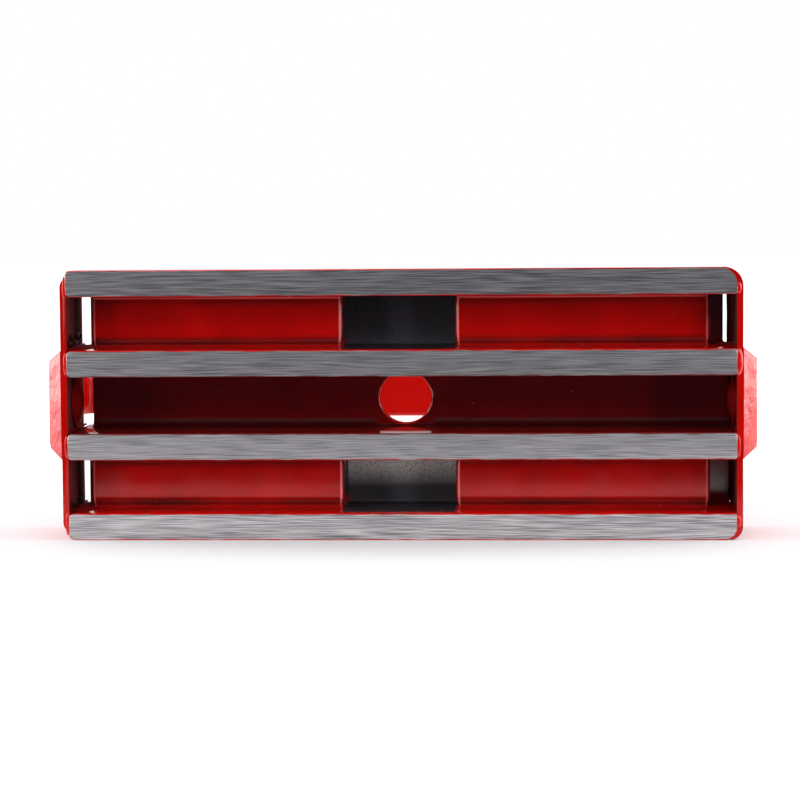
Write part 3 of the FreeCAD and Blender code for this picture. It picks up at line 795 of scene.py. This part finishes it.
def build_hole_rim():
    """Rolled edge of paint round both mouths of the web bore."""
    bore = 6.0 * MM
    bead = 0.18 * MM
    stations, around = 96, 8
    low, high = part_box("web_plate")

    def rims(bm):
        for level in (low.y, high.y):
            rows = []
            for i in range(stations):
                turn = 2 * math.pi * i / stations
                spoke = Vector((math.cos(turn), 0, math.sin(turn)))
                row = []
                for k in range(around):
                    out = bore + bead + bead * math.cos(math.pi * k / 4)
                    along = Vector((0, bead * math.sin(math.pi * k / 4), 0))
                    row.append(bm.verts.new(Vector((0, level, pivot.z)) + spoke * out + along))
                rows.append(row)
            for i in range(stations):
                first, second = rows[i], rows[(i + 1) % stations]
                for k in range(around):
                    after = (k + 1) % around
                    bm.faces.new((first[k], first[after], second[after], second[k]))

    finish_piece("web_bore_rim", mesh_from("web_bore_rim", rims), enamel, BLOCK)


# ---------------------------------------------------------------- handle


def build_hub(node, side):
    """Bevelled pad over the leg of the handle: softened edges, hollow behind for the leg and its washer."""
    low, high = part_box(node)
    tip = (high.x if side > 0 else low.x) + side * PAD_PROUD
    rim = side * (shell_end + HUB_CLEAR)
    half_root = (high.z - low.z) / 2
    half_face = half_root - 2.55 * MM
    wall = 1.6 * MM
    middle = Vector((0, (low.y + high.y) / 2, (low.z + high.z) / 2))
    sections = ((rim + side * 0.9 * MM, half_root - wall, 0.6 * MM), (rim, half_root - wall, 0.6 * MM),
                (rim, half_root, 1.0 * MM), (rim + side * 0.12 * MM, half_root, 1.0 * MM),
                (tip, half_face, 0.9 * MM))

    def pad(bm):
        rings = []
        for x, half, radius in sections:
            points = outline((-half, -half), (half, half), [radius] * 4, steps=5)
            rings.append([bm.verts.new(middle + Vector((x, u, v))) for u, v in points])
        count = len(rings[0])
        for first, second in zip(rings, rings[1:]):
            for i in range(count):
                after = (i + 1) % count
                bm.faces.new((first[i], first[after], second[after], second[i]))
        bm.faces.new(rings[0])
        top = bm.faces.new(list(reversed(rings[-1])))
        bmesh.ops.bevel(bm, geom=list(top.edges), offset=0.55 * MM, segments=4, profile=0.5,
                        affect="EDGES")

    finish_piece(node + "_pad", mesh_from(node + "_pad", pad), hub_enamel, HANDLE, [node])


def build_peened_head(name, side):
    """The flat outer head of a pivot rivet under the paint: a low dome with a pressed ring round it."""
    face_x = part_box("handle_hub_right")[1].x + PAD_PROUD
    around = 40
    rings = ((3.9, -0.3), (3.7, 0.05), (3.3, 0.16), (3.0, 0.03),        # (radius, rise) in mm
             (2.85, 0.06), (2.3, 0.2), (1.2, 0.27), (0.3, 0.28))

    def head(bm):
        rows = []
        for radius, rise in rings:
            centre = Vector((side * (face_x + rise * MM), 0, pivot.z))
            turns = [2 * math.pi * i / around for i in range(around)]
            rows.append([bm.verts.new(centre + radius * MM * Vector((0, math.cos(turn), math.sin(turn))))
                         for turn in turns])
        for first, second in zip(rows, rows[1:]):
            for i in range(around):
                after = (i + 1) % around
                bm.faces.new((first[i], first[after], second[after], second[i]))
        bm.faces.new(rows[0])
        bm.faces.new(list(reversed(rows[-1])))

    finish_piece(name, mesh_from(name, head), hub_enamel, BLOCK)


def strap_centreline():
    """Centre of the strap from the right pivot round to the left one, at the pivot level."""
    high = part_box("handle_strap")[1]
    leg_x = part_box("friction_washer_right")[1].x + STRAP_THICK / 2
    bar_y = high.y - STRAP_THICK / 2
    leg_start = -6.0 * MM + 1e-5    # a hair inside the CAD leg's end
    bend_start = 13.0 * MM
    bar_x = leg_x + 3.6 * MM
    corners = [Vector((leg_x, leg_start, 0)), Vector((leg_x, bend_start, 0)), Vector((bar_x, bar_y, 0))]
    corners += [Vector((-p.x, p.y, 0)) for p in reversed(corners)]
    radii = [12 * MM, 6 * MM, 6 * MM, 12 * MM]
    path = [corners[0]]
    for before, corner, after, radius in zip(corners, corners[1:], corners[2:], radii):
        inward = (before - corner).normalized()
        onward = (after - corner).normalized()
        half = inward.angle(onward) / 2
        cut = radius / math.tan(half)
        centre = corner + (inward + onward).normalized() * (radius / math.sin(half))
        start = (corner + inward * cut - centre).normalized()
        stop = (corner + onward * cut - centre).normalized()
        steps = 10
        for i in range(steps + 1):
            path.append(centre + start.slerp(stop, i / steps) * radius)
    path.append(corners[-1])
    return [p + Vector((0, 0, pivot.z)) for p in path]


def build_strap():
    """Bent flat strap with rolled edges."""
    half_width = (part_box("handle_strap")[1].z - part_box("handle_strap")[0].z) / 2
    half_thick = STRAP_THICK / 2
    section = outline((-half_thick, -half_width), (half_thick, half_width), [0.7 * MM] * 4)

    def strap(bm):
        sweep(bm, strap_centreline(), lambda share: section)

    finish_piece("handle_strap_enamel", mesh_from("handle_strap_enamel", strap), enamel, HANDLE,
                 ["handle_strap"])


def build_grip():
    """Dipped sleeve on the cross bar, with a thicker lip at each end."""
    low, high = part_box("handle_grip")
    half_width = (high.z - low.z) / 2
    half_thick = (high.y - low.y) / 2
    count = 80
    middle = (low.y + high.y) / 2
    path = [Vector((high.x + (low.x - high.x) * i / count, middle, pivot.z)) for i in range(count + 1)]

    def section(share):
        from_end = min(share, 1 - share) * (high.x - low.x)
        tuck = 0.35 * MM * max(0.0, 1 - from_end / (0.8 * MM)) ** 2
        waist = 0.22 * MM * math.exp(-((from_end - 4.0 * MM) / (1.6 * MM)) ** 2)
        inset = tuck + waist
        return outline((-half_thick + inset, -half_width + inset), (half_thick - inset, half_width - inset),
                       [1.1 * MM] * 4)

    def sleeve(bm):
        sweep(bm, path, section)

    finish_piece("handle_grip_sleeve", mesh_from("handle_grip_sleeve", sleeve), vinyl, HANDLE,
                 ["handle_grip"])


# ---------------------------------------------------------------- assembly

for index, plate in enumerate(PLATES):
    build_pole_plate(plate, 3.7 * index)
for level in ("lower", "upper"):
    for flank in ("left", "right"):
        build_magnet(f"magnet_{level}_{flank}")
build_end_plate("end_plate_right", 1)
build_end_plate("end_plate_left", -1)
build_end_welds()
build_inner_beads()
build_drips()
build_hole_rim()
build_hub("handle_hub_right", 1)
build_hub("handle_hub_left", -1)
build_peened_head("peened_rivet_right", 1)
build_peened_head("peened_rivet_left", -1)
build_strap()
build_grip()


def dress(node, material):
    """Give a CAD node its material."""
    slots = frame["nodes"][node].data.materials
    slots.clear()
    slots.append(material)


dress("web_plate", web_enamel)
dress("back_strip_lower", lower_strip_skin)
dress("back_strip_upper", upper_strip_skin)
for flank in ("left", "right"):
    dress(f"pivot_rivet_{flank}", rivet_enamel)
    dress(f"backing_washer_{flank}", rivet_enamel)
    dress(f"friction_washer_{flank}", fibre)

# ---------------------------------------------------------------- stage, light and camera


def build_floor():
    """White table in two sheets; the front one only fills the picture and throws no light on the holder."""
    material = floor_material()
    seam, half_width = -0.10, 1.6
    for name, front, back, lights_up in (("table", seam, 2.2, True), ("table_front", -0.36, seam, False)):
        bm = bmesh.new()
        corners = [(-half_width, front), (half_width, front), (half_width, back), (-half_width, back)]
        bm.faces.new([bm.verts.new((x, y, 0.0)) for x, y in corners])
        mesh = bpy.data.meshes.new(name)
        bm.to_mesh(mesh)
        bm.free()
        mesh.materials.append(material)
        sheet = bpy.data.objects.new(name, mesh)
        bpy.context.scene.collection.objects.link(sheet)
        sheet.visible_glossy = lights_up
        sheet.visible_diffuse = lights_up


def softbox(name, place_at, aim, size, radiance):
    """A rectangular light of even radiance."""
    light = bpy.data.lights.new(name, "AREA")
    light.shape = "RECTANGLE"
    light.size, light.size_y = size
    light.energy = radiance * math.pi * size[0] * size[1]
    lamp = bpy.data.objects.new(name, light)
    bpy.context.scene.collection.objects.link(lamp)
    lamp.location = place_at
    lamp.rotation_mode = "QUATERNION"
    lamp.rotation_quaternion = (Vector(aim) - Vector(place_at)).to_track_quat("-Z", "Y")


def build_world():
    """Surroundings: bright low down behind the table, dimmer overhead, dark in front; seen plain white."""
    world = bpy.data.worlds.new("studio")
    bpy.context.scene.world = world
    world.use_nodes = True
    tree = world.node_tree
    background = tree.nodes["Background"]
    coordinates = add(tree, "ShaderNodeTexCoord")
    parts = add(tree, "ShaderNodeSeparateXYZ")
    tree.links.new(coordinates.outputs["Generated"], parts.inputs["Vector"])
    depth = maths(tree, "ADD", maths(tree, "MULTIPLY", parts.outputs["Y"], 0.5), 0.5)
    white = (1.0, 1.0, 1.0)
    room = ramp(tree, depth, (0.0, (0.02, 0.023, 0.032)), (0.40, (0.03, 0.034, 0.045)), (0.60, white))
    height = ramp(tree, parts.outputs["Z"], (0.16, 1.5), (0.40, 0.62))
    room = mix(tree, 1.0, room, height, "MULTIPLY")
    seen = add(tree, "ShaderNodeLightPath")
    shown = mix(tree, seen.outputs["Is Camera Ray"], room, white)
    tree.links.new(shown, background.inputs["Color"])
    background.inputs["Strength"].default_value = 1.0


def build_camera():
    """Long lens a little above the holder and right of its middle."""
    data = bpy.data.cameras.new("view")
    data.sensor_width = 36.0
    data.lens = 126.9
    data.clip_start = 0.02
    camera = bpy.data.objects.new("view", data)
    bpy.context.scene.collection.objects.link(camera)
    yaw, pitch, roll = math.radians(-3.498), math.radians(4.502), math.radians(-0.446)
    forward = Vector((math.sin(yaw) * math.cos(pitch), math.cos(yaw) * math.cos(pitch), -math.sin(pitch)))
    level = Vector((math.cos(yaw), -math.sin(yaw), 0))
    upright = level.cross(forward)
    right = level * math.cos(roll) + upright * math.sin(roll)
    up = upright * math.cos(roll) - level * math.sin(roll)
    rotation = Matrix((right, up, -forward)).transposed().to_4x4()
    camera.matrix_world = Matrix.Translation(Vector((0.0383, -0.6382, 0.0808))) @ rotation
    bpy.context.scene.camera = camera


build_floor()
for name, flank in (("left", -1), ("right", 1)):
    softbox(f"{name}_box", (flank * 0.42, -0.02, 0.17), (0, 0, 0.12), (0.42, 0.32), 5.0)
softbox("top_box", (0.0, 0.1, 0.75), (0, 0, 0), (0.9, 0.6), 1.6)
for name, flank in (("left", -1), ("right", 1)):
    softbox(f"front_{name}_box", (flank * 0.5, -0.55, 0.12), (0, 0, 0.03), (0.09, 0.3), 9.0)
softbox("front_box", (0.0, -0.62, 0.38), (0, 0, 0.03), (0.9, 0.18), 3.6)
build_world()
build_camera()
bpy.context.scene.view_settings.view_transform = "Standard"
